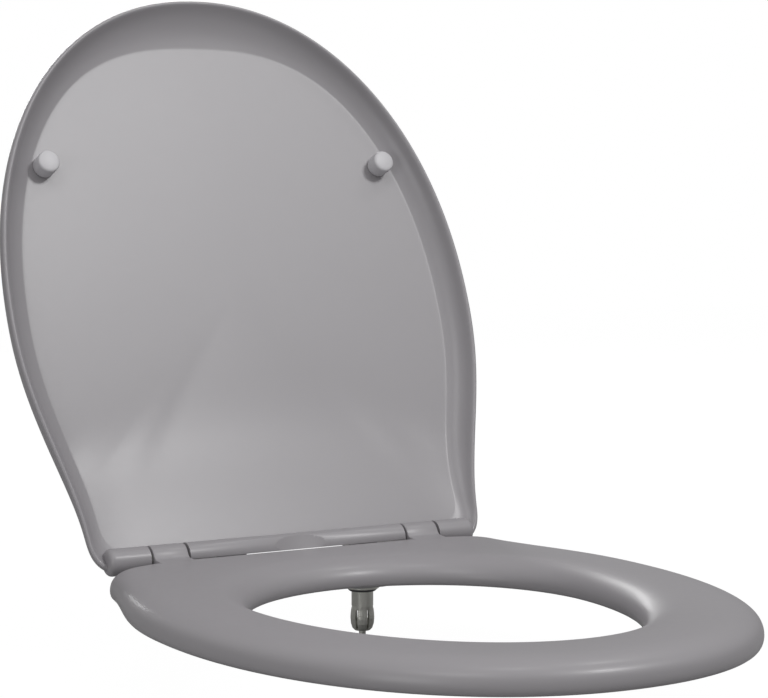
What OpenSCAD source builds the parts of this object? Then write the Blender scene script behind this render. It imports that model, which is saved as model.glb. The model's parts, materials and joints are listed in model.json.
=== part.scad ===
// Toilet seat of moulded urea resin: a ring, a lid that stands open behind it, and two
// quick-release hinges with expanding fixings. The origin is on the seating plane of the
// pan, midway between the two fixings. +Z is up and -Y is the front.

/* [Outline] */
// Half of the greatest width of the lid and the ring
half_w = 188; // [176:0.5:200]
// Distance from the hinge axis to the front tip
tip_reach = 426.5; // [400:0.5:445]
// Distance from the hinge axis to the widest place
widest_back = 185; // [170:1:200]
// Roundness of the front, 2 is an ellipse
front_power = 2.12; // [2:0.02:2.4]
// Half width of the lid at its shoulders
lid_rear_half = 156.5; // [152:0.5:168]
// Half width of the ring at its rear
ring_rear_half = 152; // [146:0.5:156]
// Radius of the lid's rear corners in plan
lid_corner_r = 20; // [14:0.5:24]
// Radius of the ring's rear corners in plan
ring_corner_r = 13; // [9:0.5:18]

/* [Hinge line] */
// Height of the hinge axis above the pan
axis_z = 36; // [34:0.5:40]
// How far the hinge axis lies behind the fixings
axis_back = 4; // [2:0.5:6]
// Radius of the barrels on the lid and the ring
barrel_r = 9.5; // [9:0.1:10.5]
// Inner end of each ear of the ring
ear_in = 88; // [84:0.5:92]
// Width of each ear
ear_w = 26; // [24:0.5:30]
// Gap between the side of an ear and the lid
side_gap = 1.8; // [0.6:0.1:2]
// Radius of the hinge pins
pin_r = 4; // [3.5:0.1:4.3]
// Radial running clearance of the pins
pin_fit = 0.05; // [0.02:0.01:0.1]
// Angle at which the lid stands open
lid_open = 112; // [100:1:114]

/* [Ring] */
// Height of the ring's underside above the pan
ring_gap = 15; // [14:0.5:16]
// Thickness of the ring at its crown
ring_h = 21.4; // [19:0.1:23]
// Rear edge of the ring, in front of the hinge axis
ring_rear = 12; // [11.5:0.5:15]
// Half width of the opening
hole_half_w = 118.5; // [110:0.5:124]
// Distance from the hinge axis to the middle of the opening
hole_back = 188; // [180:1:196]
// Reach of the opening to the front of its middle
hole_front = 165.5; // [155:0.5:172]
// Reach of the opening to the rear of its middle
hole_rear = 117; // [108:0.5:124]
// Depth of the recess under the ring
recess_depth = 11; // [6:0.5:13]
// Width of the solid edges beside the recess
recess_land = 11; // [8:0.5:16]
// Share of the edge's rounding that is left at the straight rear edge
rear_rounding = 0.2; // [0.1:0.05:0.5]

/* [Lid] */
// Height of the closed lid's rim above the pan
lid_rim_z = 34.5; // [33:0.5:37]
// Height of the lid's edge above its rim
lid_edge_h = 19.5; // [13:0.5:22]
// Rise of the lid from its edge to its middle
lid_crown = 5; // [2:0.5:9]
// Height of the lid above its rim at the hinge axis
lid_rear_h = 11.6; // [11.2:0.1:12]
// Length over which the lid slopes down to the hinges
lid_slope_run = 90; // [60:1:130]
// Thickness of the lid's panel
lid_skin = 5; // [4:0.1:7]
// Width of the inner wall at the sides
side_wall = 20; // [12:0.5:22]
// Width of the inner wall at the front tip
front_wall = 34; // [22:0.5:40]
// Width of the inner wall at the rear corners, where it makes the lugs' blocks
corner_wall = 40; // [20:1:44]
// Depth of the notches around the ears, from the hinge axis
notch_reach = 13; // [12:0.5:24]
// Turn of the middle lip past the lowest point of the barrel
lip_turn = 26; // [22:1:28]
// Width of the relief in the middle of the lip
relief_w = 33; // [20:1:60]
// Depth of the relief in the lip
relief_depth = 1.7; // [0.8:0.1:2.4]

/* [Buffers] */
// Radius of the lid's buffers
peg_r = 8.3; // [6:0.1:10]
// Distance of the lid's buffers from the middle
peg_x = 138.5; // [120:0.5:144]
// Distance of the lid's buffers from the hinge axis
peg_back = 296.5; // [280:0.5:310]
// Gap between the closed lid's buffers and the ring
peg_gap = 0.4; // [0.2:0.1:1]
// Radius of the buffers' stems
stem_r = 3; // [2:0.1:4]
// Length of the buffers' stems
stem_len = 3; // [2:0.1:4]
// Length of the ring's buffers
pad_len = 42; // [25:1:56]
// Width of the ring's buffers
pad_w = 15; // [10:0.5:20]
// How far the ring's buffers stand out below the ring
pad_drop = 5.5; // [4:0.5:15]
// Bearing of the front pair from the middle, 0 is the front
pad_front_bearing = 34; // [24:1:50]
// Bearing of the rear pair
pad_rear_bearing = 116; // [100:1:124]

/* [Hinge posts] */
// Distance of each fixing from the middle
fix_x = 53; // [50:0.5:58]
// Width of a post's neck and eye
post_w = 22; // [16:0.5:26]
// Radius of the eye around the pin
eye_r = 7; // [6:0.1:7.6]
// Clearance around the eye inside the lid
eye_gap = 0.7; // [0.5:0.1:1.2]
// Clearance between the neck and the lid
neck_gap = 0.6; // [0.4:0.1:1]
// Width of the foot
foot_w = 27; // [24:0.5:30]
// Height of the top of the foot
foot_top = 14.4; // [14:0.1:14.6]
// Reach of the foot in front of the fixing
foot_front = 15.5; // [15:0.5:18]
// Reach of the foot behind the fixing
foot_back = 17; // [16:0.5:20]

/* [Fixings] */
// Thickness of the rubber gasket
gasket_t = 2; // [1:0.1:3]
// Radius of the gasket on the pan
gasket_r = 9.5; // [9:0.1:11]
// Radius of the stud's flange
flange_r = 12; // [11.5:0.1:13]
// Thickness of the stud's flange
flange_t = 2.2; // [1.6:0.1:2.6]
// Radius of the stud
stud_r = 6.5; // [6:0.1:7]
// Height of the stud above its flange
stud_h = 8.8; // [8.6:0.1:9]
// Radius of the groove that the latch grips
groove_r = 4.6; // [4.2:0.1:5]
// Radius of the neck inside the gasket
neck_r = 7; // [6:0.1:7.6]
// Radius of the shank in the pan's hole
shank_r = 7.9; // [7.2:0.1:8.4]
// Length of the shank
shank_len = 11; // [8:0.5:16]
// Radius of the thread below the shank
thread_r = 2.5; // [2:0.1:2.8]
// How far the thread's tip stands out of the anchor
thread_tip = 4; // [2:0.5:10]
// Radius over the corners of the drive socket
socket_r = 3.4; // [3:0.1:3.8]
// Depth of the drive socket
socket_depth = 2.6; // [2:0.1:3]
// Greatest radius of the expanding anchor
anchor_r = 8.7; // [8:0.1:9.5]
// Length of the expanding anchor
anchor_len = 18; // [16:0.5:24]
// Wall of the anchor at its mouth
anchor_wall = 0.9; // [0.6:0.1:1.2]
// Number of petals on the anchor
petals = 6; // [4:1:8]
// Width of the slots between the petals
petal_slot = 1.6; // [1:0.1:2.2]

/* [Release buttons] */
// Width of a button
button_w = 15; // [12:0.5:17]
// Height of a button
button_h = 7.6; // [7:0.1:7.8]
// Travel of a button
button_travel = 3.5; // [3:0.1:4]
// Clearance of a button in its pocket
button_gap = 0.25; // [0.15:0.05:0.4]
// Depth of a button's cap
button_depth = 7; // [6.4:0.1:8]
// Thickness of the latch plate
latch_t = 1.6; // [1.2:0.1:1.8]
// Half width of the latch plate
latch_half_w = 8.6; // [8.2:0.1:9]
// Mean radius of the spring
spring_r = 1.5; // [1.2:0.1:1.7]
// Radius of the spring's wire
wire_r = 0.25; // [0.2:0.05:0.3]

/* [Dampers and bushes] */
// Outer radius of the dampers and bushes
cartridge_r = 6.4; // [6:0.1:6.8]
// Wall of a damper's housing
damper_wall = 1; // [0.8:0.1:1.2]
// Thickness of a damper's end walls
damper_end = 2; // [1.5:0.1:3]
// Length of the dampers and bushes
cartridge_len = 24; // [20:0.5:24]

/* [Hidden] */

RESIN = "#9a989c";
RUBBER = "#55565a";
PEG = "#b4b2b6";
STEEL = "#a9aaa6";
ZINC = "#8f9090";
NYLON = "#d8d8d4";

$fn = 64;
eps = 0.01;
ear_out = ear_in + ear_w;
// The middle that the outlines are drawn around, in front of the hinge axis
centre_back = 200;
lid_rear = barrel_r - 1;
// Bearings of the rays from the middle, 0 is the front; they close up at the rear corners
half_bearings = concat(
    [for (a = [0:4:120]) a],
    [for (a = [123.5:3.5:134]) a],
    [for (a = [135.6:1.6:150]) a],
    [for (a = [152:4:180]) a]
);
bearings = concat(half_bearings, [for (i = [len(half_bearings) - 2:-1:1]) 360 - half_bearings[i]]);

// Half width of an outline at the distance back in front of the hinge axis
function front_half(back) =
    half_w * pow(1 - pow((back - widest_back) / (tip_reach - widest_back), front_power), 1 / front_power);
function rear_half(back, rear, power) =
    rear + (half_w - rear) * (1 + cos(180 * pow((widest_back - max(back, 0)) / widest_back, power))) / 2;
function corner_cut(back, edge, r) =
    back > edge + r ? 0 : r - sqrt(max(0, r ^ 2 - (edge + r - back) ^ 2));
function outline_half(back, rear, power, edge, r) =
    back >= tip_reach || back <= edge ? 0
    : back > widest_back ? front_half(back)
    : rear_half(back, rear, power) - corner_cut(back, edge, r);

// Length of the ray at a bearing, found by halving
function reach(a, rear, power, edge, r, lo = 0, hi = 320, n = 22) =
    n == 0 ? lo
    : let (mid = (lo + hi) / 2, back = centre_back + mid * cos(a))
      abs(mid * sin(a)) < outline_half(back, rear, power, edge, r)
      ? reach(a, rear, power, edge, r, mid, hi, n - 1)
      : reach(a, rear, power, edge, r, lo, mid, n - 1);
function lid_edge_at(a) = reach(a, lid_rear_half, 1.15, -lid_rear, lid_corner_r);
function ring_edge_at(a) = reach(a, ring_rear_half, 1.25, ring_rear, ring_corner_r);

lid_reach = [for (a = bearings) lid_edge_at(a)];
ring_reach = [for (a = bearings) ring_edge_at(a)];

// Point at a bearing and a distance from the middle, in the frame of the hinge axis
function ray_point(a, r, z) = [r * sin(a), -centre_back - r * cos(a), z];

// The opening is two half ellipses that meet at its widest place
function hole_point(a) = [hole_half_w * sin(a), -hole_back - (cos(a) > 0 ? hole_front : hole_rear) * cos(a)];

// The edge's rounding fades out towards the straight rear edge
function rounding(a) =
    let (off = abs(a > 180 ? 360 - a : a), u = min(1, max(0, (off - 124) / 24)))
    1 - (1 - rear_rounding) * (1 - cos(180 * u)) / 2;

// Place on the ring on ray i, at a distance from the outer edge or, if inner, from the opening
function ring_place(i, d, z, inner) =
    let (a = bearings[i],
         o = [ring_reach[i] * sin(a), -centre_back - ring_reach[i] * cos(a)],
         h = hole_point(a),
         s = (inner || d > recess_land - eps && z < ring_gap + ring_h / 2 ? d : d * rounding(a)) / norm(h - o),
         p = inner ? h + (o - h) * s : o + (h - o) * s)
    [p.x, p.y, z];

// Skin over rings of points: the last is tied to the first, or each end closes on its middle
module skin(rings, closed) {
    n = len(rings[0]);
    m = len(rings);
    walls = [for (i = [0:closed ? m - 1 : m - 2], j = [0:n - 1], k = [0, 1])
        let (a = i * n + j, b = i * n + (j + 1) % n,
             c = ((i + 1) % m) * n + (j + 1) % n, d = ((i + 1) % m) * n + j)
        k == 0 ? [a, c, b] : [a, d, c]];
    first = m * n;
    last_row = (m - 1) * n;
    caps = closed ? [] : [for (j = [0:n - 1], k = [0, 1])
        k == 0 ? [first, j, (j + 1) % n] : [first + 1, last_row + (j + 1) % n, last_row + j]];
    middles = closed ? [] : [for (r = [rings[0], rings[m - 1]])
        [0, (r[0].y + r[(len(half_bearings) - 1)].y) / 2, r[0].z]];
    polyhedron(points = concat([for (r = rings) each r], middles), faces = concat(walls, caps), convexity = 8);
}

// Solid along the hinge axis between two places, from a profile in the plane across it
module along_axis(x0, x1) {
    translate([x0, 0, 0]) rotate([90, 0, 90]) linear_extrude(x1 - x0) children();
}
module rod(r, x0, x1) {
    translate([x0, 0, 0]) rotate([0, 90, 0]) cylinder(r = r, h = x1 - x0);
}
module both() {
    children();
    mirror([1, 0, 0]) children();
}
module on_side(side) {
    mirror([side < 0 ? 1 : 0, 0, 0]) children();
}
module at_axis() {
    translate([0, axis_back, axis_z]) children();
}
// Plate with round ends or corners, standing on its own frame
module rounded_plate(w, l, r, h) {
    linear_extrude(h) {
        square([w - 2 * r, l], center = true);
        square([w, l - 2 * r], center = true);
        for (x = [-1, 1], y = [-1, 1]) translate([x * (w / 2 - r), y * (l / 2 - r)]) circle(r);
    }
}
function polar(r, a) = [r * cos(a), r * sin(a)];
function turned(p, a) = [p.x * cos(a) - p.y * sin(a), p.x * sin(a) + p.y * cos(a)];

// Section of the ring: distance from an edge, height as a share of the thickness
outer_section = [
    [recess_land, 0], [3, 0], [0.8, 0.12], [0, 0.3], [1, 0.55], [4.5, 0.75], [11, 0.9], [18, 0.97], [27, 1]
];
inner_section = [
    [25, 1], [18, 0.96], [11, 0.86], [5, 0.7], [1.5, 0.5], [0, 0.3], [0.6, 0.12], [2, 0], [recess_land, 0]
];
recess_edge = recess_land + 1.5;
ring_top = ring_gap + ring_h;
recess_roof = ring_gap + recess_depth;
ring_section = concat(
    [for (p = outer_section) [p[0], ring_gap + ring_h * p[1], false]],
    [for (p = inner_section) [p[0], ring_gap + ring_h * p[1], true]],
    [for (inner = [true, false]) [recess_edge, recess_roof, inner]]
);

module ring_body() {
    skin([for (s = ring_section) [for (i = [0:len(bearings) - 1]) ring_place(i, s[0], s[1], s[2])]], true);
}

// An ear reaches from the ring's top to a barrel around the pin
ear_foot = ring_rear + 14;
ear_root = barrel_r - 0.5;
module ear() {
    rod(barrel_r, ear_in, ear_out);
    along_axis(ear_in, ear_out) polygon([
        polar(ear_root, 170),
        [-ear_foot, ring_top - 0.4 - axis_z],
        [-ear_foot, recess_roof + 2 - axis_z],
        [-ring_rear - 2, -barrel_r - 1.5],
        polar(barrel_r, -108),
        [0, 0]
    ]);
}

module seat_ring() {
    color(RESIN) difference() {
        union() {
            translate([0, axis_back, 0]) ring_body();
            at_axis() both() ear();
        }
        at_axis() both() rod(cartridge_r, ear_in - 1, ear_out + 1);
    }
}

// Height of the closed lid's edge and of its roof above the rim
function slope_share(back) = (1 - cos(180 * min(1, max(0, back / lid_slope_run)))) / 2;
function edge_h(back) = lid_rear_h + (lid_edge_h - lid_rear_h) * slope_share(back);
function roof_h(back, k) = edge_h(back) + lid_crown * slope_share(back) * (1 - k ^ 2);

// Point of the closed lid on ray i, at a distance from the middle
function lid_outside(i, r, share) =
    let (a = bearings[i], back = centre_back + r * cos(a))
    ray_point(a, r, lid_rim_z + share * roof_h(back, r / lid_reach[i]));
function lid_inside(i, r, share) =
    let (a = bearings[i], back = centre_back + r * cos(a))
    ray_point(a, r, lid_rim_z + share * (roof_h(back, r / lid_reach[i]) - lid_skin));
// The inner wall is wider at the front tip and at the rear corners
function corner_share(a) =
    let (off = abs(a > 180 ? 360 - a : a),
         rise = min(1, max(0, (off - 130) / 12)), fall = min(1, max(0, (off - 148.4) / 1.6)))
    (1 - cos(180 * rise)) * (1 + cos(180 * fall)) / 4;
function wall_w(a) =
    side_wall + (front_wall - side_wall) * pow(max(0, cos(a)), 12) + (corner_wall - side_wall) * corner_share(a);

// Section of the lid from its floor to its roof: share of the reach or distance from the edge,
// and share of the height
floor_shares = [0.12, 0.32, 0.55, 0.76];
wall_section = [[1, 1], [0.9, 0.98], [0.62, 0.89], [0.34, 0.7], [0.14, 0.45]];
rim_inside = [[4.6, 0.16], [3.4, 0.04]];
lid_edge = [
    [1.8, 0], [0.5, 0.05], [0, 0.16], [0.2, 0.3], [1.3, 0.52], [3.6, 0.74], [7.5, 0.9], [13, 0.975], [22, 1]
];
roof_shares = [0.8, 0.6, 0.35, 0.12];

// Distance from the edge at a share of the inner wall's width
function wall_inset(i, share) = rim_inside[0][0] + (wall_w(bearings[i]) - rim_inside[0][0]) * share;

module lid_body() {
    rays = [0:len(bearings) - 1];
    skin(concat(
        [for (k = floor_shares) [for (i = rays) lid_inside(i, k * lid_reach[i], 1)]],
        [for (p = wall_section) [for (i = rays) lid_inside(i, lid_reach[i] - wall_inset(i, p[0]), p[1])]],
        [for (p = rim_inside) [for (i = rays) lid_inside(i, lid_reach[i] - p[0], p[1])]],
        [for (p = lid_edge) [for (i = rays) lid_outside(i, lid_reach[i] - p[0], p[1])]],
        [for (k = roof_shares) [for (i = rays) lid_outside(i, k * lid_reach[i], 1)]]
    ), false);
}

// The middle of the lid's rear edge ends on a slanted plane, in front of the posts
lid_top_rel = lid_rim_z + lid_rear_h - axis_z;
lug_in = ear_out + side_gap;
lug_out = lid_rear_half - lid_corner_r;
bar_out = ear_in - side_gap;
lip_end = polar(barrel_r, lip_turn - 90);
cut_top = [-0.5, lid_top_rel + 4];
function cut_at(z) = lip_end + (cut_top - lip_end) * (z - lip_end.y) / (cut_top.y - lip_end.y);
fill_top = lid_top_rel - 3;
fill_front = barrel_r - 0.5;
// The bars start this much too long, and the notches trim them
trim = 0.5;
far = 40;

module lid_bar(x0, x1, rear) {
    translate([x0, -fill_front, 0]) cube([x1 - x0, fill_front + rear, fill_top]);
}
module lug_barrel() {
    end_r = 4;
    len = lug_out + barrel_r - lug_in + trim;
    translate([lug_in - trim, 0, 0]) rotate([0, 90, 0]) rotate_extrude() {
        square([barrel_r, len - end_r]);
        square([barrel_r - end_r, len]);
        translate([barrel_r - end_r, len - end_r]) circle(end_r);
    }
}

module closed_lid() {
    difference() {
        union() {
            lid_body();
            translate([0, 0, axis_z]) {
                rod(barrel_r, -bar_out - trim, bar_out + trim);
                lid_bar(-bar_out - trim, bar_out + trim, 0);
                both() {
                    lug_barrel();
                    lid_bar(lug_in - trim, lug_out, barrel_r / 2);
                }
            }
        }
        translate([0, 0, axis_z]) {
            along_axis(-bar_out - 2 * trim, bar_out + 2 * trim)
                polygon([cut_top, cut_at(-far), [far, -far], [far, far], [cut_top.x, far]]);
            both() translate([bar_out, -notch_reach, -far]) cube([ear_w + 2 * side_gap, far, 2 * far]);
            both() rod(cartridge_r, lug_in - 1, lug_in + cartridge_len);
            both() rod(eye_r + eye_gap, fix_x - post_w / 2 - 1, fix_x + post_w / 2 + 1);
            both() rod(pin_r + neck_gap, fix_x, ear_in);
            translate([-relief_w / 2, -barrel_r, -far + lip_end.y + relief_depth]) cube([relief_w, far, far]);
            both() translate([peg_x, -peg_back, peg_floor - axis_z]) {
                cylinder(r = stem_r, h = 2 * stem_len, center = true);
                translate([0, 0, -stem_len]) cylinder(r = peg_r, h = stem_len);
            }
        }
    }
}
module when_open() {
    at_axis() rotate([-lid_open, 0, 0]) translate([0, 0, -axis_z]) children();
}
module lid() {
    color(RESIN) when_open() closed_lid();
}

// The lid's buffers reach from its floor to the ring
peg_bearing = atan2(peg_x, peg_back - centre_back);
peg_share = norm([peg_x, peg_back - centre_back]) / lid_edge_at(peg_bearing);
peg_floor = lid_rim_z + roof_h(peg_back, peg_share) - lid_skin;
peg_round = 1.6;
module lid_buffer(side) {
    tip = ring_top + peg_gap;
    color(PEG) when_open() on_side(side) translate([peg_x, -peg_back, 0]) {
        rotate_extrude() {
            translate([0, tip + peg_round]) square([peg_r, peg_floor - tip - peg_round]);
            translate([0, tip]) square([peg_r - peg_round, peg_round * 2]);
            translate([peg_r - peg_round, tip + peg_round]) circle(peg_round);
        }
        translate([0, 0, peg_floor - eps]) cylinder(r = stem_r, h = stem_len);
    }
}

// The ring's buffers meet the pan's rim, halfway between the ring's two edges
module ring_buffer(side, a) {
    r = ring_edge_at(a);
    o = [r * sin(a), -centre_back - r * cos(a)];
    h = hole_point(a);
    mid = (o + h) / 2;
    color(RUBBER) on_side(side) translate([mid.x, mid.y + axis_back, ring_gap - pad_drop])
        rotate([0, 0, atan2(o.y - h.y, o.x - h.x)])
            rounded_plate(pad_w, pad_len, pad_w / 2 - eps, recess_depth + pad_drop);
}

// A post stands on the stud, behind the lid's lip, and carries the pin in its eye
foot_bottom = gasket_t + flange_t;
latch_z = foot_bottom + 3.5;
stud_fit = 0.2;
pocket_y = stud_r + stud_fit + 2.4;
cap_y = pocket_y + 0.3 + button_travel;
button_z = foot_bottom + 1.2;
plate_front = groove_r + stud_fit + 5;
neck_turn = lip_turn - 90 + 6;
// The neck's rear face follows the slanted plane between two shares of the lid's height
neck_shares = [0.65, 1.3];
neck_rear = [for (k = neck_shares) turned(cut_at(lid_top_rel * k) + [neck_gap, 0], -lid_open)];
foot_rel = foot_top - axis_z - 1;

module post_body() {
    translate([0, (foot_back - foot_front) / 2, foot_bottom])
        rounded_plate(foot_w, foot_back + foot_front, 5, foot_top - foot_bottom);
    translate([0, axis_back, axis_z]) {
        rod(eye_r, -post_w / 2, post_w / 2);
        along_axis(-post_w / 2, post_w / 2) polygon([
            [0, 0],
            polar(eye_r - 0.2, neck_turn),
            polar(barrel_r + 1, neck_turn),
            [polar(barrel_r + 1, neck_turn).x, foot_rel],
            [neck_rear[1].x, foot_rel],
            neck_rear[1],
            neck_rear[0]
        ]);
    }
}
module hinge_post(side) {
    slot_h = latch_t + 2 * stud_fit;
    color(ZINC) on_side(side) translate([fix_x, 0, 0]) difference() {
        post_body();
        translate([0, 0, foot_bottom - 1]) cylinder(r = stud_r + stud_fit, h = stud_h + stud_fit + 1);
        translate([-latch_half_w - stud_fit, -plate_front - button_travel - 0.8, latch_z - slot_h / 2])
            cube([2 * (latch_half_w + stud_fit), plate_front + button_travel + 1.2 + cap_y, slot_h]);
        translate([-button_w / 2 - button_gap, pocket_y, button_z - button_gap])
            cube([button_w + 2 * button_gap, far, button_h + 2 * button_gap]);
        translate([0, axis_back, axis_z]) rod(pin_r, -far, far);
    }
}

// The pin runs from the post through the ring's ear into the lid's lug
pin_in = fix_x - post_w / 2;
pin_out = lug_in + cartridge_len - 1;
module hinge_pin(side) {
    color(STEEL) at_axis() on_side(side) rod(pin_r, pin_in, pin_out);
}

// Bushes and dampers fill the bores of the lugs and the ears
ear_cartridge = ear_in + (ear_w - cartridge_len) / 2;
module bush(x0) {
    difference() {
        rod(cartridge_r, x0, x0 + cartridge_len);
        rod(pin_r + pin_fit, x0 - 1, x0 + cartridge_len + 1);
    }
}
module damper_housing(x0) {
    difference() {
        bush(x0);
        rod(cartridge_r - damper_wall, x0 + damper_end, x0 + cartridge_len - damper_end);
    }
}
module damper_rotor(x0) {
    difference() {
        rod(cartridge_r - damper_wall - pin_fit, x0 + damper_end + 0.2, x0 + cartridge_len - damper_end - 0.2);
        rod(pin_r, x0, x0 + cartridge_len);
    }
}
module lid_damper_housing() {
    color(NYLON) at_axis() on_side(-1) damper_housing(lug_in);
}
module lid_damper_rotor() {
    color(STEEL) at_axis() on_side(-1) damper_rotor(lug_in);
}
module lid_bush() {
    color(NYLON) at_axis() bush(lug_in);
}
module seat_damper_housing() {
    color(NYLON) at_axis() damper_housing(ear_cartridge);
}
module seat_damper_rotor() {
    color(STEEL) at_axis() damper_rotor(ear_cartridge);
}
module seat_bush() {
    color(NYLON) at_axis() on_side(-1) bush(ear_cartridge);
}

// A button is a cap with a latch plate, whose keyhole grips the stud's groove
spring_z = latch_z + latch_t / 2 + spring_r + wire_r + 0.3;
spring_room = 0.3;
spring_bore = button_depth - 1.4;
module release_button(side) {
    color(RESIN) on_side(side) translate([fix_x, 0, 0]) difference() {
        union() {
            translate([-button_w / 2, cap_y, button_z]) cube([button_w, button_depth, button_h]);
            translate([-latch_half_w, -plate_front, latch_z - latch_t / 2])
                cube([2 * latch_half_w, plate_front + cap_y + eps, latch_t]);
        }
        translate([0, 0, latch_z - latch_t]) {
            cylinder(r = groove_r + stud_fit, h = 2 * latch_t);
            translate([0, button_travel, 0]) cylinder(r = stud_r + stud_fit, h = 2 * latch_t);
        }
        translate([0, cap_y - 1, spring_z]) rotate([-90, 0, 0])
            cylinder(r = spring_r + wire_r + spring_room, h = spring_bore + 1);
    }
}

// The spring is drawn at its pressed length, so that it fits at both ends of the travel
spring_len = spring_bore;
coils = 5;
coil_steps = 12;
wire_sides = 5;
module button_spring(side) {
    steps = coils * coil_steps;
    run = spring_len - 2 * wire_r;
    turns = [for (i = [0:steps]) let (a = 360 * i / coil_steps, y = pocket_y + wire_r + run * i / steps)
        [for (j = [0:wire_sides - 1]) let (b = 360 * j / wire_sides, r = spring_r + wire_r * cos(b))
            [r * cos(a), y + wire_r * sin(b), spring_z + r * sin(a)]]];
    faces = [for (i = [0:steps - 1], j = [0:wire_sides - 1])
        let (k = (j + 1) % wire_sides)
        [i * wire_sides + j, (i + 1) * wire_sides + j, (i + 1) * wire_sides + k, i * wire_sides + k]];
    start = [for (j = [0:wire_sides - 1]) j];
    end = [for (j = [wire_sides - 1:-1:0]) steps * wire_sides + j];
    color(STEEL) on_side(side) translate([fix_x, 0, 0])
        polyhedron(points = [for (t = turns) each t], faces = concat(faces, [start, end]), convexity = 10);
}

// The stud is one turned piece: its flange stands on the gasket, its groove takes the latch,
// its shank fills the pan's hole, and its thread draws up the nut
stud_top = foot_bottom + stud_h;
groove_half = latch_t / 2 + 1.5 * stud_fit;
thread_point = 1;
module mounting_stud(side) {
    tip = anchor_bottom - thread_tip;
    color(STEEL) on_side(side) translate([fix_x, 0, 0]) difference() {
        rotate_extrude() polygon([
            [0, tip], [thread_r - thread_point, tip], [thread_r, tip + thread_point],
            [thread_r, -shank_len], [shank_r, -shank_len], [shank_r, 0], [neck_r, 0], [neck_r, gasket_t],
            [flange_r, gasket_t], [flange_r, foot_bottom], [stud_r, foot_bottom],
            [stud_r, latch_z - groove_half], [groove_r, latch_z - groove_half],
            [groove_r, latch_z + groove_half], [stud_r, latch_z + groove_half],
            [stud_r, stud_top], [0, stud_top]
        ]);
        translate([0, 0, stud_top - socket_depth]) cylinder(r = socket_r, h = far, $fn = 6);
    }
}
module base_gasket(side) {
    color(RUBBER) on_side(side) translate([fix_x, 0, 0]) rotate_extrude() polygon([
        [neck_r + stud_fit, 0], [gasket_r, 0], [flange_r - 0.4, gasket_t], [neck_r + stud_fit, gasket_t]
    ]);
}

// The anchor's petals are spread by the nut; its outline gives shares of its radius and length
anchor_bottom = -shank_len - anchor_len;
anchor_outline = [[0.86, 0], [0.94, 0.15], [0.99, 0.36], [1, 0.5], [0.96, 0.72], [0.83, 0.91], [0.64, 1]];
slot_shares = [0.14, 0.91];
cone_share = 0.72;
petal_t = 2.3;
cone_top = -shank_len - cone_share * anchor_len;
cone_r = [anchor_r - petal_t, anchor_outline[6][0] * anchor_r - anchor_wall - 0.5];
module expansion_anchor(side) {
    slot_top = -shank_len - slot_shares[0] * anchor_len;
    slot_bottom = -shank_len - slot_shares[1] * anchor_len;
    color(STEEL) on_side(side) translate([fix_x, 0, 0]) difference() {
        rotate_extrude() polygon(concat(
            [for (p = anchor_outline) [anchor_r * p[0], -shank_len - anchor_len * p[1]]],
            [[cone_r[1], anchor_bottom], [cone_r[0], cone_top], [cone_r[0], slot_top + anchor_wall],
             [anchor_outline[0][0] * anchor_r - anchor_wall, -shank_len]]
        ));
        for (i = [0:petals - 1]) rotate([0, 0, 360 * i / petals])
            translate([-petal_slot / 2, -2 * anchor_r, slot_bottom])
                cube([petal_slot, 2 * anchor_r, slot_top - slot_bottom]);
    }
}
module anchor_nut(side) {
    slack = 0.1;
    nut_land = 3;
    color(STEEL) on_side(side) translate([fix_x, 0, 0]) rotate_extrude() polygon([
        [thread_r, anchor_bottom], [cone_r[1] - slack, anchor_bottom],
        [cone_r[0] - slack, cone_top], [cone_r[0] - slack, cone_top + nut_land], [thread_r, cone_top + nut_land]
    ]);
}

seat_ring();
lid();
lid_buffer(-1);  // lid_buffer_left
lid_buffer(1);  // lid_buffer_right
ring_buffer(-1, pad_front_bearing);  // ring_buffer_front_left
ring_buffer(1, pad_front_bearing);  // ring_buffer_front_right
ring_buffer(-1, pad_rear_bearing);  // ring_buffer_rear_left
ring_buffer(1, pad_rear_bearing);  // ring_buffer_rear_right
hinge_post(-1);  // hinge_post_left
hinge_post(1);  // hinge_post_right
hinge_pin(-1);  // hinge_pin_left
hinge_pin(1);  // hinge_pin_right
lid_damper_housing();
lid_damper_rotor();
lid_bush();
seat_damper_housing();
seat_damper_rotor();
seat_bush();
release_button(-1);  // release_button_left
release_button(1);  // release_button_right
button_spring(-1);  // button_spring_left
button_spring(1);  // button_spring_right
mounting_stud(-1);  // mounting_stud_left
mounting_stud(1);  // mounting_stud_right
base_gasket(-1);  // base_gasket_left
base_gasket(1);  // base_gasket_right
expansion_anchor(-1);  // expansion_anchor_left
expansion_anchor(1);  // expansion_anchor_right
anchor_nut(-1);  // anchor_nut_left
anchor_nut(1);  // anchor_nut_right
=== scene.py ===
# %% [markdown]
# # A toilet seat of moulded resin
# The seat is an oval ring and a lid that stands open behind it. Both are pressed from a warm grey resin, and both
# turn on two steel pins. Under the hinge line two posts hold the pins and clamp to the pan with expanding anchors.
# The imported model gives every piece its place. This lesson gives the pieces their finish, and models again the ones
# whose surfaces are smooth curves.

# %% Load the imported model
import json
import math

import bmesh
import bpy
from mathutils import Matrix, Vector

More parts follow.
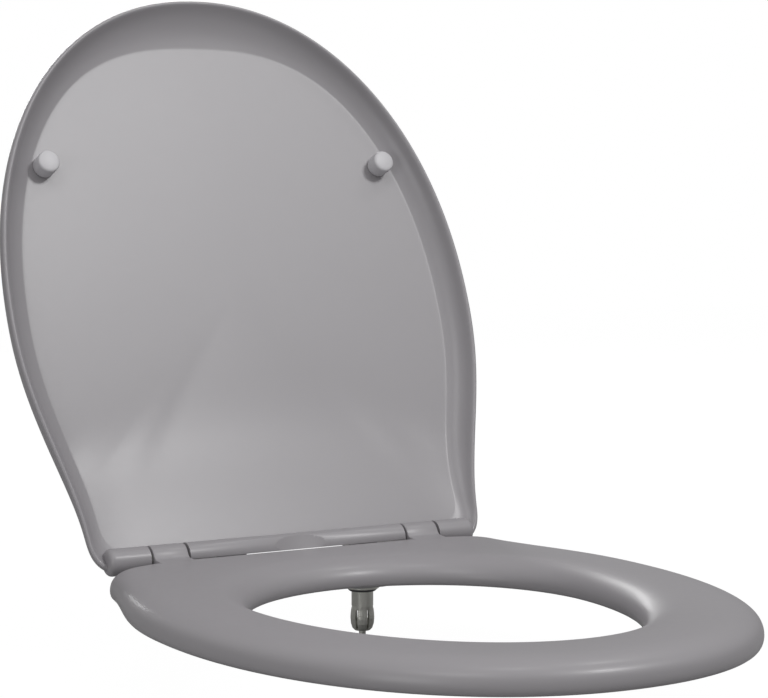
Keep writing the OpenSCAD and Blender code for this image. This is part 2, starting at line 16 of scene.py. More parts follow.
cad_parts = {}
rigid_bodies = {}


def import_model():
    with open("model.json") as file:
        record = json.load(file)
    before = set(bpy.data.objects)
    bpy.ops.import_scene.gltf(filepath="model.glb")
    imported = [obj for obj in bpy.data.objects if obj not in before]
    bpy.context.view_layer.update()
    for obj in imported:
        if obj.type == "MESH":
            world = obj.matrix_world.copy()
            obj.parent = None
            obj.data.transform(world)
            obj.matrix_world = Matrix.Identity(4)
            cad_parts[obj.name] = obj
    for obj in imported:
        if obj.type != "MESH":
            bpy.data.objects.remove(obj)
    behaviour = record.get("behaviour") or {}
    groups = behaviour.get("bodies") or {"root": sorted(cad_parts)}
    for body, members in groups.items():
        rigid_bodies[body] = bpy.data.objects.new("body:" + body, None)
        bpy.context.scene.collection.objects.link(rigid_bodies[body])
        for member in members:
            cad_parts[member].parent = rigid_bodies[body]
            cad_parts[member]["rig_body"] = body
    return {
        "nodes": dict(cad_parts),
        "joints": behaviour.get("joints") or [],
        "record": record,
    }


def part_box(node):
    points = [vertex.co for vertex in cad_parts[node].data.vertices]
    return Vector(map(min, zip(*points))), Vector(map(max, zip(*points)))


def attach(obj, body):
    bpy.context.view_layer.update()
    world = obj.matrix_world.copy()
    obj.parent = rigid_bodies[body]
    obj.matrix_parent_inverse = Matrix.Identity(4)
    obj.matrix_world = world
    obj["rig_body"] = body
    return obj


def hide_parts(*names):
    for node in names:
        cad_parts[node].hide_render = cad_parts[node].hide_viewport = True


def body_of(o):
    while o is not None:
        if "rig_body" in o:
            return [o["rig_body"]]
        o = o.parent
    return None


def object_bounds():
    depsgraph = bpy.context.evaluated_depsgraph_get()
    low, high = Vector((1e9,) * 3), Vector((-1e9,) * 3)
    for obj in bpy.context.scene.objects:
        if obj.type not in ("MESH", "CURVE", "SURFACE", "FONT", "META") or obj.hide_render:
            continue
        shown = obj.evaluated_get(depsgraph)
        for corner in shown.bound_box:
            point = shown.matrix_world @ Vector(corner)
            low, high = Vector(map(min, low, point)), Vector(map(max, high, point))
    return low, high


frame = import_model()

cad_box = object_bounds()
print("CAD box in metres:", [tuple(round(v, 4) for v in corner) for corner in cad_box])

# %% [markdown]
# ## Sizes
# The outline of the ring and the lid comes from a few round sizes: half the width, where the widest place lies, how
# far the tip reaches, and how wide the rear is. Lengths are written in millimetres from the hinge axis, with the lid
# closed, and each finished piece is then scaled to metres, turned and moved to its place in one step.

# %% Driving sizes
MM = 0.001
HALF_W, TIP_REACH, WIDEST_BACK, FRONT_POWER = 188, 426.5, 185, 2.12
CENTRE_BACK = 200
LID_REAR_HALF, LID_POWER, LID_REAR, LID_CORNER_R = 156.5, 1.15, 8.5, 20
RING_REAR_HALF, RING_POWER, RING_REAR, RING_CORNER_R = 152, 1.25, 12, 13
BARREL_R = 9.5
EAR_IN, EAR_W, SIDE_GAP = 88, 26, 1.8
PIN_BORE = 6.4

hinge = next(j for j in frame["joints"] if j["name"] == "lid_hinge")
AXIS = Vector(hinge["pos_m"])
AXIS_Z = AXIS.z / MM
LID_OPEN = math.radians(-hinge["range_deg"][0])
IN_PLACE = Matrix.Translation(AXIS) @ Matrix.Scale(MM, 4)
LID_IN_PLACE = Matrix.Translation(AXIS) @ Matrix.Rotation(-LID_OPEN, 4, "X") @ Matrix.Scale(MM, 4)
print("hinge axis at", tuple(round(v, 4) for v in AXIS), "lid open", round(math.degrees(LID_OPEN), 1), "degrees")

# %% Outline of the seat in plan
def smooth_step(t):
    t = min(1, max(0, t))
    return (1 - math.cos(math.pi * t)) / 2


def half_width(back, rear_half, power, edge, corner_r):
    """Half width of an outline at a distance in front of the hinge axis."""
    if back >= TIP_REACH or back <= edge:
        return 0
    if back > WIDEST_BACK:
        share = (back - WIDEST_BACK) / (TIP_REACH - WIDEST_BACK)
        return HALF_W * (1 - share ** FRONT_POWER) ** (1 / FRONT_POWER)
    waist = rear_half + (HALF_W - rear_half) * (
        1 + math.cos(math.pi * ((WIDEST_BACK - max(back, 0)) / WIDEST_BACK) ** power)
    ) / 2
    if back > edge + corner_r:
        return waist
    return waist - corner_r + math.sqrt(max(0, corner_r ** 2 - (edge + corner_r - back) ** 2))


def reach(bearing, *outline):
    """Distance from the middle to the outline at a bearing, by halving. Bearing 0 is the front."""
    low, high = 0, 320
    for _ in range(30):
        mid = (low + high) / 2
        back = CENTRE_BACK + mid * math.cos(bearing)
        if abs(mid * math.sin(bearing)) < half_width(back, *outline):
            low = mid
        else:
            high = mid
    return low


def steps(start, end, step):
    return [start + step * i for i in range(round((end - start) / step) + 1)]


half_turn = steps(0, 120, 4) + steps(123.5, 134, 3.5) + steps(135.6, 150, 1.6) + steps(152, 180, 4)
BEARINGS = [math.radians(a) for a in half_turn + [360 - a for a in half_turn[-2:0:-1]]]
RING_REACH = [reach(a, RING_REAR_HALF, RING_POWER, RING_REAR, RING_CORNER_R) for a in BEARINGS]
LID_REACH = [reach(a, LID_REAR_HALF, LID_POWER, -LID_REAR, LID_CORNER_R) for a in BEARINGS]
print(len(BEARINGS), "rays around the seat, closest at the rear corners")

# %% [markdown]
# ## Camera
# The camera stands low and to the left, about one and a half metres away, with a long lens. Its direction was found
# by fitting the outlines of the ring and the lid.

# %% Camera
EYE = Vector((-0.7817, -1.4777, 0.3101))
TARGET = Vector((-0.0420, -0.196, 0.1926))
SENSOR, FOCAL = 36, 110.96
camera_data = bpy.data.cameras.new("camera")
camera_data.sensor_width = SENSOR
camera_data.lens = FOCAL
camera = bpy.data.objects.new("camera", camera_data)
camera.location = EYE
camera.rotation_euler = (TARGET - EYE).to_track_quat("-Z", "Y").to_euler()
bpy.context.scene.collection.objects.link(camera)
bpy.context.scene.camera = camera
print("camera at", tuple(round(v, 3) for v in EYE), "lens", FOCAL)

# %% [markdown]
# ## Studio
# The seat stands in front of plain white. The world is white to the camera. To everything else it is a soft light from
# above that fades to dark below, so the background costs the seat no contrast. The floor lies just under the anchors and shows mostly as white light, mixed
# with a little of its own shade, so that a faint shadow stays.

# %% White world and floor
LIGHT_BELOW, LIGHT_ABOVE = 0.05, 0.54
FLOOR_GLOW, GLOW_STRENGTH = 0.93, 1.06


def new_nodes(tree):
    tree.nodes.clear()
    return tree.nodes, tree.links


def seen_directly(nodes, links):
    """A mask that is 1 for camera and transmission rays."""
    path, most = nodes.new("ShaderNodeLightPath"), nodes.new("ShaderNodeMath")
    most.operation = "MAXIMUM"
    links.new(path.outputs["Is Camera Ray"], most.inputs[0])
    links.new(path.outputs["Is Transmission Ray"], most.inputs[1])
    return most.outputs[0]


world = bpy.data.worlds.new("white studio")
bpy.context.scene.world = world
world.use_nodes = True
nodes, links = new_nodes(world.node_tree)
soft, plain, mixed = (nodes.new(kind) for kind in (
    "ShaderNodeBackground", "ShaderNodeBackground", "ShaderNodeMixShader"))
soft.inputs["Color"].default_value = (1, 1, 1, 1)
direction, parts, height = (nodes.new(kind) for kind in (
    "ShaderNodeTexCoord", "ShaderNodeSeparateXYZ", "ShaderNodeMapRange"))
height.interpolation_type = "SMOOTHSTEP"
for name, value in (("From Min", -0.5), ("From Max", 1), ("To Min", LIGHT_BELOW), ("To Max", LIGHT_ABOVE)):
    height.inputs[name].default_value = value
links.new(direction.outputs["Generated"], parts.inputs[0])
links.new(parts.outputs["Z"], height.inputs["Value"])
links.new(height.outputs["Result"], soft.inputs["Strength"])
plain.inputs["Color"].default_value = (1, 1, 1, 1)
links.new(seen_directly(nodes, links), mixed.inputs[0])
links.new(soft.outputs[0], mixed.inputs[1])
links.new(plain.outputs[0], mixed.inputs[2])
links.new(mixed.outputs[0], nodes.new("ShaderNodeOutputWorld").inputs[0])
bpy.context.scene.view_settings.view_transform = "Standard"

floor_material = bpy.data.materials.new("white floor")
floor_material.use_nodes = True
nodes, links = new_nodes(floor_material.node_tree)
shade, glow, mixed = (nodes.new(kind) for kind in (
    "ShaderNodeBsdfDiffuse", "ShaderNodeEmission", "ShaderNodeMixShader"))
shade.inputs["Color"].default_value = (0.35, 0.35, 0.35, 1)
glow.inputs["Strength"].default_value = GLOW_STRENGTH
share = nodes.new("ShaderNodeMath")
share.operation = "MULTIPLY"
share.inputs[1].default_value = FLOOR_GLOW
links.new(seen_directly(nodes, links), share.inputs[0])
links.new(share.outputs[0], mixed.inputs[0])
links.new(shade.outputs[0], mixed.inputs[1])
links.new(glow.outputs[0], mixed.inputs[2])
links.new(mixed.outputs[0], nodes.new("ShaderNodeOutputMaterial").inputs[0])

bm = bmesh.new()
bmesh.ops.create_grid(bm, x_segments=1, y_segments=1, size=3)
bmesh.ops.translate(bm, verts=bm.verts, vec=(0, 0, cad_box[0][2] - MM))
floor_mesh = bpy.data.meshes.new("floor")
bm.to_mesh(floor_mesh)
bm.free()
floor_mesh.materials.append(floor_material)
floor = bpy.data.objects.new("floor", floor_mesh)
bpy.context.scene.collection.objects.link(floor)
print("floor at", round(cad_box[0][2] - MM, 4))

# %% [markdown]
# ## Lamps
# One soft panel stands high at the left and in front. The other stands where the lid's floor mirrors it towards the
# camera, so its blurred image lies on the floor as a broad sheen. A low one at
# the left lights the right inner wall and the fixings, one behind lights the lid's outside, and two small lamps above
# put short highlights on the ring.

# %% Lamps
def panel(name, place, aim, width, height, watts):
    data = bpy.data.lights.new(name, "AREA")
    data.shape = "RECTANGLE"
    data.size, data.size_y = width, height
    data.energy = watts
    lamp = bpy.data.objects.new(name, data)
    lamp.location = place
    lamp.rotation_euler = (Vector(aim) - Vector(place)).to_track_quat("-Z", "Y").to_euler()
    bpy.context.scene.collection.objects.link(lamp)
    return lamp


panel("key panel", (-1.1, -1.1, 1.8), (-0.15, 0, 0.2), 0.8, 0.8, 6)
panel("sheen panel", (0.98, -1.85, 2.16), (-0.1, 0.1, 0.3), 0.5, 0.5, 25)
panel("low panel", (-1.8, -1.1, 0.3), (0, -0.1, 0.15), 0.8, 0.8, 6)
panel("back panel", (0.5, 2.3, 1.0), (0, 0.1, 0.25), 1.0, 1.0, 24)
for i, place in enumerate(((0.75, -0.1, 1.5), (0.1, -0.35, 1.6))):
    panel(f"top lamp {i}", place, (0, -0.2, 0), 0.1, 0.1, 1.2)

# %% [markdown]
# ## Shared surface effects
# Pressed resin is smooth, but not perfect: the surface swells a little, its gloss changes slightly from place to
# place, and the colour is never quite even. One node group gives these three, and each material sets its own scale.

# %% Node group for an uneven surface
def group_socket(tree, name, kind, side, value=None):
    socket = tree.interface.new_socket(name, in_out=side, socket_type=kind)
    if value is not None:
        socket.default_value = value
    return socket


def uneven_group():
    tree = bpy.data.node_groups.new("uneven surface", "ShaderNodeTree")
    for name, kind, value in (
        ("Colour", "NodeSocketColor", (0.5, 0.5, 0.5, 1)),
        ("Colour change", "NodeSocketFloat", 0.03),
        ("Roughness", "NodeSocketFloat", 0.3),
        ("Roughness change", "NodeSocketFloat", 0.05),
        ("Patch scale", "NodeSocketFloat", 12.0),
        ("Grain scale", "NodeSocketFloat", 400.0),
    ):
        group_socket(tree, name, kind, "INPUT", value)
    for name, kind in (("Colour", "NodeSocketColor"), ("Roughness", "NodeSocketFloat"), ("Height", "NodeSocketFloat")):
        group_socket(tree, name, kind, "OUTPUT")
    nodes, links = tree.nodes, tree.links
    inside, outside = nodes.new("NodeGroupInput"), nodes.new("NodeGroupOutput")
    place = nodes.new("ShaderNodeTexCoord")
    patches, grain = nodes.new("ShaderNodeTexNoise"), nodes.new("ShaderNodeTexNoise")
    for noise, scale in ((patches, "Patch scale"), (grain, "Grain scale")):
        links.new(place.outputs["Object"], noise.inputs["Vector"])
        links.new(inside.outputs[scale], noise.inputs["Scale"])
        noise.inputs["Detail"].default_value = 3
    shade = nodes.new("ShaderNodeMapRange")
    links.new(patches.outputs["Fac"], shade.inputs["Value"])
    less, more = nodes.new("ShaderNodeMath"), nodes.new("ShaderNodeMath")
    for node, operation, socket in ((less, "SUBTRACT", "To Min"), (more, "ADD", "To Max")):
        node.operation = operation
        node.inputs[0].default_value = 1
        links.new(inside.outputs["Colour change"], node.inputs[1])
        links.new(node.outputs[0], shade.inputs[socket])
    tint = nodes.new("ShaderNodeMix")
    tint.data_type = "RGBA"
    tint.blend_type = "MULTIPLY"
    tint.inputs["Factor"].default_value = 1
    links.new(inside.outputs["Colour"], tint.inputs["A"])
    links.new(shade.outputs["Result"], tint.inputs["B"])
    links.new(tint.outputs["Result"], outside.inputs["Colour"])
    gloss = nodes.new("ShaderNodeMath")
    gloss.operation = "MULTIPLY_ADD"
    links.new(grain.outputs["Fac"], gloss.inputs[0])
    links.new(inside.outputs["Roughness change"], gloss.inputs[1])
    links.new(inside.outputs["Roughness"], gloss.inputs[2])
    links.new(gloss.outputs[0], outside.inputs["Roughness"])
    links.new(grain.outputs["Fac"], outside.inputs["Height"])
    return tree


UNEVEN = uneven_group()

# %% [markdown]
# ## Materials
# Each finish is a Principled shader fed by the shared group. The resin is glossy with a clear sheen, the buffers and
# the rubber are matt, and the metal parts are satin.

# %% Materials
def finish(name, colour, roughness, metallic=0.0, coat=0.0, bump=0.02, colour_change=0.03, roughness_change=0.06,
           patch=14.0, grain=420.0):
    material = bpy.data.materials.new(name)
    material.use_nodes = True
    nodes, links = new_nodes(material.node_tree)
    shader, out = nodes.new("ShaderNodeBsdfPrincipled"), nodes.new("ShaderNodeOutputMaterial")
    surface = nodes.new("ShaderNodeGroup")
    surface.node_tree = UNEVEN
    surface.inputs["Colour"].default_value = (*colour, 1)
    surface.inputs["Colour change"].default_value = colour_change
    surface.inputs["Roughness"].default_value = roughness
    surface.inputs["Roughness change"].default_value = roughness_change
    surface.inputs["Patch scale"].default_value = patch
    surface.inputs["Grain scale"].default_value = grain
    raised = nodes.new("ShaderNodeBump")
    raised.inputs["Strength"].default_value = bump
    raised.inputs["Distance"].default_value = 0.0005
    links.new(surface.outputs["Colour"], shader.inputs["Base Color"])
    links.new(surface.outputs["Roughness"], shader.inputs["Roughness"])
    links.new(surface.outputs["Height"], raised.inputs["Height"])
    links.new(raised.outputs["Normal"], shader.inputs["Normal"])
    shader.inputs["Metallic"].default_value = metallic
    shader.inputs["Coat Weight"].default_value = coat
    shader.inputs["Coat Roughness"].default_value = 0.22
    links.new(shader.outputs[0], out.inputs[0])
    return material


MATERIALS = {
    "resin": finish("warm grey resin", (0.31, 0.297, 0.312), 0.38, coat=0.15, bump=0.012, colour_change=0.02,
                    patch=9, grain=260),
    "buffer": finish("light buffer plastic", (0.56, 0.55, 0.57), 0.4, bump=0.05, grain=900),
    "rubber": finish("grey rubber", (0.09, 0.09, 0.095), 0.68, bump=0.12, grain=1100),
    "steel": finish("satin steel", (0.74, 0.74, 0.69), 0.36, metallic=0.8, bump=0.04, grain=1400),
    "zinc": finish("die-cast zinc", (0.42, 0.42, 0.42), 0.42, metallic=1, bump=0.14, grain=800),
    "nylon": finish("white nylon", (0.72, 0.72, 0.68), 0.45, bump=0.04, grain=900),
}
SLOTS = {row["node"]: row["material_slot"] for row in frame["record"]["subparts"]}
for node, piece in frame["nodes"].items():
    piece.data.materials.clear()
    piece.data.materials.append(MATERIALS[SLOTS[node]])
print(len(MATERIALS), "materials on", len(SLOTS), "nodes")

# %% [markdown]
# ## Tools for the smooth pieces
# A smooth piece starts as a coarse cage. A closed loop of points is extruded again and again, and each new loop is
# moved to its own place, so the cage follows a section all the way round. Two levels of subdivision round it, and
# barrels, blocks and bores are then added and cut.

# %% Cage from loops
def loop_cage(loops, closed=False):
    """Mesh through loops of points: tied into a tube that closes on itself, or with each end drawn to its middle."""
    bm = bmesh.new()
    ray = bm.verts.layers.int.new("ray")
    verts = [bm.verts.new(p) for p in loops[0]]
    for i, vert in enumerate(verts):
        vert[ray] = i
    edges = [bm.edges.new((verts[i - 1], vert)) for i, vert in enumerate(verts)]

    def grow(edges, place):
        made = bmesh.ops.extrude_edge_only(bm, edges=edges)["geom"]
        for vert in made:
            if isinstance(vert, bmesh.types.BMVert):
                vert.co = place(vert[ray])
        return [e for e in made if isinstance(e, bmesh.types.BMEdge)]

    first = edges
    for loop in loops[1:] + ([loops[0]] if closed else []):
        edges = grow(edges, lambda i: loop[i])
    if not closed:
        for ends, loop in ((edges, loops[-1]), (first, loops[0])):
            middle = Vector((0, (loop[0][1] + loop[len(half_turn) - 1][1]) / 2, loop[0][2]))
            grow(ends, lambda i: middle)
    bmesh.ops.remove_doubles(bm, verts=bm.verts, dist=1e-4)
    bmesh.ops.recalc_face_normals(bm, faces=bm.faces)
    return bm


def new_piece(name, bm):
    mesh = bpy.data.meshes.new(name)
    bm.to_mesh(mesh)
    bm.free()
    piece = bpy.data.objects.new(name, mesh)
    bpy.context.scene.collection.objects.link(piece)
    return piece


def settle(piece):
    """The piece's modifiers become its mesh."""
    graph = bpy.context.evaluated_depsgraph_get()
    mesh, old = bpy.data.meshes.new_from_object(piece.evaluated_get(graph)), piece.data
    piece.modifiers.clear()
    piece.data = mesh
    bpy.data.meshes.remove(old)


def rounded(piece, levels=2):
    modifier = piece.modifiers.new("rounded", "SUBSURF")
    modifier.levels = modifier.render_levels = levels
    settle(piece)


def carve(piece, operation, bm):
    """Adds or cuts away the shape in bm."""
    tool = new_piece("tool", bm)
    modifier = piece.modifiers.new("carve", "BOOLEAN")
    modifier.operation = operation
    modifier.solver = "MANIFOLD"
    modifier.object = tool
    settle(piece)
    shape = tool.data
    bpy.data.objects.remove(tool)
    bpy.data.meshes.remove(shape)


def complete(piece, node, place, sharp=38):
    """Puts a finished piece in its place, in the finish and on the body of the CAD node that it stands for."""
    piece.data.transform(place)
    piece.data.shade_smooth()
    piece.data.set_sharp_from_angle(angle=math.radians(sharp))
    piece.data.materials.clear()
    piece.data.materials.append(MATERIALS[SLOTS[node]])
    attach(piece, body_of(frame["nodes"][node])[0])
    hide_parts(node)
    print(piece.name, len(piece.data.polygons), "faces")


# %% Rods, blocks and prisms along the hinge axis
def rod(bm, r, x0, x1):
    turn = Matrix.Translation(((x0 + x1) / 2, 0, 0)) @ Matrix.Rotation(math.pi / 2, 4, "Y")
    bmesh.ops.create_cone(bm, cap_ends=True, segments=96, radius1=r, radius2=r, depth=x1 - x0, matrix=turn)


def block(bm, low, high):
    low, high = Vector(low), Vector(high)
    place = Matrix.Translation((low + high) / 2) @ Matrix.Diagonal((*(high - low), 1))
    return bmesh.ops.create_cube(bm, size=1, matrix=place)["verts"]


def prism(bm, outline, x0, x1, bevel=0):
    """An outline of (y, z) points, drawn out along the hinge axis. Its two end edges may be rounded."""
    face = bm.faces.new([bm.verts.new((x0, y, z)) for y, z in outline])
    end = bmesh.ops.extrude_face_region(bm, geom=[face])["geom"]
    far_face = next(f for f in end if isinstance(f, bmesh.types.BMFace))
    bmesh.ops.translate(bm, verts=far_face.verts, vec=(x1 - x0, 0, 0))
    bmesh.ops.recalc_face_normals(bm, faces=bm.faces)
    if bevel:
        edges = list({e for f in (face, far_face) for e in f.edges})
        bmesh.ops.bevel(bm, geom=edges, offset=bevel, offset_type="OFFSET", segments=3, profile=0.5,
                        affect="EDGES", material=-1, clamp_overlap=True)


def polar(r, degrees):
    return r * math.cos(math.radians(degrees)), r * math.sin(math.radians(degrees))


def arc(r, start, end, count):
    return [polar(r, start + (end - start) * i / count) for i in range(count + 1)]


def curve(start, pull, end, count=6):
    """Points from start to end that lean towards pull."""
    return [tuple((1 - t) ** 2 * a + 2 * t * (1 - t) * b + t * t * c for a, b, c in zip(start, pull, end))
            for t in (i / count for i in range(count + 1))]


def both_sides(make):
    bm = bmesh.new()
    make(bm)
    copy = bmesh.ops.duplicate(bm, geom=bm.verts[:] + bm.edges[:] + bm.faces[:])["geom"]
    bmesh.ops.scale(bm, verts=[v for v in copy if isinstance(v, bmesh.types.BMVert)], vec=(-1, 1, 1))
    bmesh.ops.recalc_face_normals(bm, faces=bm.faces)
    return bm


# %% [markdown]
# ## Ring
# The section of the ring is a soft cushion: steep at its outer edge, highest a third of the way in, and rolling over
# into the opening. Its underside is hollow. Two ears reach back to the hinge axis.

# %% Ring
RING_GAP, RING_H = 15, 21.4
HOLE_HALF_W, HOLE_BACK, HOLE_FRONT, HOLE_REAR = 118.5, 188, 165.5, 117
RECESS_LAND, RECESS_DEPTH = 11, 11
OUTER_SECTION = [
    (RECESS_LAND, 0), (3, 0), (0.8, 0.12), (0, 0.3), (1, 0.55), (4.5, 0.75), (11, 0.9), (18, 0.97), (27, 1)]
INNER_SECTION = [
    (25, 1), (18, 0.96), (11, 0.86), (5, 0.7), (1.5, 0.5), (0, 0.3), (0.6, 0.12), (2, 0), (RECESS_LAND, 0)]
RING_FLOOR = RING_GAP - AXIS_Z
RING_TOP = RING_FLOOR + RING_H
RECESS_ROOF = RING_FLOOR + RECESS_DEPTH


def hole_point(bearing):
    length = HOLE_FRONT if math.cos(bearing) > 0 else HOLE_REAR
    return Vector((HOLE_HALF_W * math.sin(bearing), -HOLE_BACK - length * math.cos(bearing)))


def edge_rounding(bearing):
    """The edge's rounding fades out towards the straight rear edge."""
    off = 180 - abs(180 - math.degrees(bearing))
    return 1 - 0.87 * smooth_step((off - 137) / 15)


def ring_point(i, inset, z, from_opening):
    a = BEARINGS[i]
    outer = Vector((RING_REACH[i] * math.sin(a), -CENTRE_BACK - RING_REACH[i] * math.cos(a)))
    inner = hole_point(a)
    if not from_opening and (inset < RECESS_LAND or z > RING_FLOOR + RING_H / 2):
        inset *= edge_rounding(a)
    start, goal = (inner, outer) if from_opening else (outer, inner)
    return (*(start + (goal - start).normalized() * inset), z)


section = [(d, RING_FLOOR + RING_H * h, False) for d, h in OUTER_SECTION]
section += [(d, RING_FLOOR + RING_H * h, True) for d, h in INNER_SECTION]
section += [(RECESS_LAND + 1.5, RECESS_ROOF, True), (RECESS_LAND + 1.5, RECESS_ROOF, False)]
ring = new_piece("resin_ring", loop_cage(
    [[ring_point(i, *place) for i in range(len(BEARINGS))] for place in section], closed=True))
rounded(ring)

EAR_FOOT = RING_REAR + 14
ear_outline = (
    arc(BARREL_R, -108, 150, 48)
    + curve(polar(BARREL_R, 150), (-10.2, 1.1), (-13, 1), 6)[1:]
    + [(-EAR_FOOT, RING_TOP - 0.4), (-EAR_FOOT, RECESS_ROOF + 2), (-RING_REAR - 2, -BARREL_R - 1.5)]
)
carve(ring, "UNION", both_sides(lambda bm: prism(bm, ear_outline, EAR_IN, EAR_IN + EAR_W, bevel=0.7)))
carve(ring, "DIFFERENCE", both_sides(lambda bm: rod(bm, PIN_BORE, EAR_IN - 1, EAR_IN + EAR_W + 1)))
complete(ring, "seat_ring", IN_PLACE)

# %% [markdown]
# ## Lid
# The lid is a shallow shell. Its panel is slightly crowned, its inside floor meets a leaning inner wall, and the wall
# is wider at the tip. Behind, it thins out to the hinge line, where a long bar and two lugs
# carry the barrels.

# %% Lid shell
LID_RIM = 34.5 - AXIS_Z
LID_EDGE_H, LID_CROWN, LID_REAR_H, LID_SLOPE_RUN, LID_SKIN = 19.5, 5, 11.6, 90, 5
SIDE_WALL, FRONT_WALL = 20, 34
FLOOR_SHARES = (0.12, 0.32, 0.55, 0.76)
WALL_SECTION = ((1.06, 1), (0.98, 0.998), (0.9, 0.975), (0.62, 0.89), (0.34, 0.7), (0.14, 0.45))
RIM_INSIDE = ((4.6, 0.16), (3.4, 0.04))
LID_EDGE = ((1.8, 0), (0.5, 0.05), (0, 0.16), (0.2, 0.3), (1.3, 0.52), (3.6, 0.74), (7.5, 0.9), (13, 0.975), (22, 1))
ROOF_SHARES = (0.8, 0.6, 0.35, 0.12)


def roof_h(back, share):
    slope = smooth_step(back / LID_SLOPE_RUN)
    return LID_REAR_H + (LID_EDGE_H - LID_REAR_H) * slope + LID_CROWN * slope * (1 - share ** 2)


def lid_point(i, r, height_share, skin=0):
    back = CENTRE_BACK + r * math.cos(BEARINGS[i])
    height = height_share * (roof_h(back, r / LID_REACH[i]) - skin)
    return (r * math.sin(BEARINGS[i]), -back, LID_RIM + height)


def wall_width(bearing):
    return SIDE_WALL + (FRONT_WALL - SIDE_WALL) * max(0, math.cos(bearing)) ** 12


def wall_inset(i, share):
    return RIM_INSIDE[0][0] + (wall_width(BEARINGS[i]) - RIM_INSIDE[0][0]) * share


rays = range(len(BEARINGS))
lid_loops = [[lid_point(i, k * LID_REACH[i], 1, LID_SKIN) for i in rays] for k in FLOOR_SHARES]
lid_loops += [[lid_point(i, LID_REACH[i] - wall_inset(i, w), h, LID_SKIN) for i in rays] for w, h in WALL_SECTION]
lid_loops += [[lid_point(i, LID_REACH[i] - d, h, LID_SKIN) for i in rays] for d, h in RIM_INSIDE]
lid_loops += [[lid_point(i, LID_REACH[i] - d, h) for i in rays] for d, h in LID_EDGE]
lid_loops += [[lid_point(i, k * LID_REACH[i], 1) for i in rays] for k in ROOF_SHARES]
lid = new_piece("resin_lid", loop_cage(lid_loops))
rounded(lid)
print("shell", len(lid.data.polygons), "faces")

# %% Hinge side of the lid
LUG_IN, BAR_OUT = EAR_IN + EAR_W + SIDE_GAP, EAR_IN - SIDE_GAP
LUG_OUT = LID_REAR_HALF - LID_CORNER_R
LID_TOP = LID_RIM + LID_REAR_H
FILL_TOP, FILL_FRONT = LID_TOP - 3, BARREL_R - 0.5
NOTCH_REACH, NOTCH_R, TRIM, FAR = 13, BARREL_R + 0.8, 0.5, 40
LIP_END, CUT_TOP = Vector(polar(BARREL_R, 26 - 90)), Vector((-0.5, LID_TOP + 4))
RELIEF_W, RELIEF_DEPTH = 33, 1.7
FIX_X, POST_W, EYE_ROOM, PIN_ROOM = 53, 22, 7.7, 4.6
PEG_X, PEG_BACK, PEG_R, STEM_R, STEM_LEN = 138.5, 296.5, 8.3, 3, 3
CARTRIDGE_LEN = 24


def turned(bm, profile, segments=64):
    """A profile of (radius, height) points, spun once around the vertical."""
    verts = [bm.verts.new((r, 0, z)) for r, z in profile]
    edges = [bm.edges.new(pair) for pair in zip(verts, verts[1:])]
    bmesh.ops.spin(bm, geom=verts + edges, cent=(0, 0, 0), axis=(0, 0, 1), dvec=(0, 0, 0),
                   angle=2 * math.pi, steps=segments, use_merge=True, use_duplicate=False)
    bmesh.ops.remove_doubles(bm, verts=bm.verts, dist=1e-4)
    bmesh.ops.recalc_face_normals(bm, faces=bm.faces)


def bar(bm):
    rod(bm, BARREL_R, -BAR_OUT - TRIM, BAR_OUT + TRIM)


def bar_block(bm):
    block(bm, (-BAR_OUT - TRIM, -FILL_FRONT, 0), (BAR_OUT + TRIM, 0, FILL_TOP))


def lug_barrel(bm):
    r, end, length = BARREL_R, 4, LUG_OUT + BARREL_R - LUG_IN + TRIM
    turned(bm, [(0, 0), (r, 0), (r, length - end)]
           + [(r - end + y, length - end + x) for x, y in arc(end, 80, 10, 7)[::-1]][::-1]
           + [(r - end, length), (0, length)])
    place = Matrix.Translation((LUG_IN - TRIM, 0, 0)) @ Matrix.Rotation(math.pi / 2, 4, "Y")
    bmesh.ops.transform(bm, matrix=place, verts=bm.verts)


def lug_block(bm):
    block(bm, (LUG_IN - TRIM, -FILL_FRONT, 0), (LUG_OUT, BARREL_R / 2, FILL_TOP))


for add in (bar, bar_block):
    shape = bmesh.new()
    add(shape)
    carve(lid, "UNION", shape)
for add in (lug_barrel, lug_block):
    carve(lid, "UNION", both_sides(add))


def cut_at(z):
    return tuple(LIP_END + (CUT_TOP - LIP_END) * (z - LIP_END.y) / (CUT_TOP.y - LIP_END.y))


slanted = bmesh.new()
prism(slanted, [tuple(CUT_TOP), cut_at(-FAR), (FAR, -FAR), (FAR, FAR), (CUT_TOP.x, FAR)],
      -BAR_OUT - 2 * TRIM, BAR_OUT + 2 * TRIM)
carve(lid, "DIFFERENCE", slanted)
for cut in (
    lambda bm: block(bm, (BAR_OUT, -NOTCH_REACH, -FAR), (LUG_IN, FAR, 2.4)),
    lambda bm: block(bm, (BAR_OUT, -6, 0), (LUG_IN, FAR, FAR)),
    lambda bm: rod(bm, NOTCH_R, BAR_OUT, LUG_IN),
    lambda bm: rod(bm, PIN_BORE, LUG_IN - 1, LUG_IN + CARTRIDGE_LEN),
    lambda bm: rod(bm, EYE_ROOM, FIX_X - POST_W / 2 - 1, FIX_X + POST_W / 2 + 1),
    lambda bm: rod(bm, PIN_ROOM, FIX_X, EAR_IN),
):
    carve(lid, "DIFFERENCE", both_sides(cut))
relief = bmesh.new()
lens_z = 8
lens_x = RELIEF_W / 2 / math.sqrt(1 - (1 - RELIEF_DEPTH / lens_z) ** 2)
bmesh.ops.create_uvsphere(
    relief, u_segments=96, v_segments=64, radius=1,
    matrix=Matrix.Translation((0, 0, LIP_END.y + RELIEF_DEPTH - lens_z)) @ Matrix.Diagonal((lens_x, FAR, lens_z, 1)))
carve(lid, "DIFFERENCE", relief)

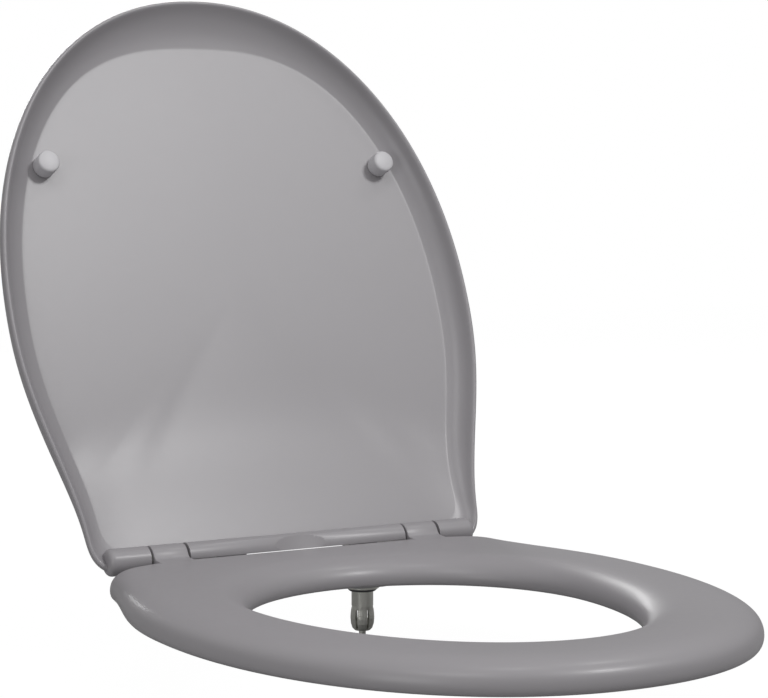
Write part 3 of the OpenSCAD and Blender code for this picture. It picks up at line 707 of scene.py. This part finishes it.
# %% Seats of the lid's buffers
peg_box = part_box("lid_buffer_right")
peg_share = math.hypot(PEG_X, PEG_BACK - CENTRE_BACK) / reach(
    math.atan2(PEG_X, PEG_BACK - CENTRE_BACK), LID_REAR_HALF, LID_POWER, -LID_REAR, LID_CORNER_R)
PEG_FLOOR = LID_RIM + roof_h(PEG_BACK, peg_share) - LID_SKIN


def peg_seat(bm):
    turned(bm, [(0, PEG_FLOOR - STEM_LEN), (PEG_R, PEG_FLOOR - STEM_LEN), (PEG_R, PEG_FLOOR), (STEM_R, PEG_FLOOR),
                (STEM_R, PEG_FLOOR + STEM_LEN), (0, PEG_FLOOR + STEM_LEN)])
    bmesh.ops.translate(bm, verts=bm.verts, vec=(PEG_X, -PEG_BACK, 0))


carve(lid, "DIFFERENCE", both_sides(peg_seat))
complete(lid, "lid", LID_IN_PLACE)

# %% [markdown]
# ## Buffers
# Two light plastic buffers stand on the lid's floor, each a short column with a soft, slightly domed end and a
# narrow foot. Four rubber buffers under the ring are long pads with round ends.

# %% The lid's buffers
PEG_TIP = RING_TOP + 0.4
for side, node in ((-1, "lid_buffer_left"), (1, "lid_buffer_right")):
    bm = bmesh.new()
    turned(bm, [(0, PEG_TIP), (PEG_R - 4.2, PEG_TIP + 0.1), (PEG_R - 2.2, PEG_TIP + 0.45)]
           + [(PEG_R - 1.8 + x, PEG_TIP + 2.3 + y) for x, y in arc(1.8, -70, 0, 6)]
           + [(PEG_R, PEG_FLOOR - 1.2), (PEG_R - 0.6, PEG_FLOOR - 0.7), (PEG_R - 0.6, PEG_FLOOR - 0.01),
              (STEM_R, PEG_FLOOR - 0.01), (STEM_R, PEG_FLOOR + STEM_LEN - 0.5),
              (STEM_R - 0.5, PEG_FLOOR + STEM_LEN - 0.02), (0, PEG_FLOOR + STEM_LEN - 0.02)])
    bmesh.ops.translate(bm, verts=bm.verts, vec=(side * PEG_X, -PEG_BACK, 0))
    complete(new_piece(f"soft_{node}", bm), node, LID_IN_PLACE)

# %% The ring's buffers
PAD_LEN, PAD_W, PAD_TIP, PAD_FLOOR = 42, 15, 2.2, RING_FLOOR - 5.5
for end, bearing in (("front", 34), ("rear", 116)):
    for side, name in ((-1, "left"), (1, "right")):
        a = math.radians(bearing)
        r = reach(a, RING_REAR_HALF, RING_POWER, RING_REAR, RING_CORNER_R)
        outer, inner = Vector((r * math.sin(a), -CENTRE_BACK - r * math.cos(a))), hole_point(a)
        bm = bmesh.new()
        verts = block(bm, (-PAD_W / 2, -PAD_LEN / 2, PAD_FLOOR), (PAD_W / 2, PAD_LEN / 2, RECESS_ROOF))
        upright = [e for e in bm.edges if abs(e.verts[0].co.z - e.verts[1].co.z) > 1]
        bmesh.ops.bevel(bm, geom=upright, offset=PAD_W / 2 - 0.05, offset_type="OFFSET", segments=10, profile=0.5,
                        affect="EDGES", material=-1, clamp_overlap=True)
        foot = [e for e in bm.edges if max(v.co.z for v in e.verts) < PAD_FLOOR + 1]
        bmesh.ops.bevel(bm, geom=foot, offset=PAD_TIP, offset_type="OFFSET", segments=5, profile=0.5,
                        affect="EDGES", material=-1, clamp_overlap=True)
        middle = (outer + inner) / 2
        turn = Matrix.Rotation(math.atan2(outer.y - inner.y, outer.x - inner.x), 4, "Z")
        place = Matrix.Translation((middle.x, middle.y, 0)) @ turn
        bmesh.ops.transform(bm, matrix=Matrix.Diagonal((side, 1, 1, 1)) @ place, verts=bm.verts)
        bmesh.ops.recalc_face_normals(bm, faces=bm.faces)
        node = f"ring_buffer_{end}_{name}"
        complete(new_piece(f"soft_{node}", bm), node, IN_PLACE)
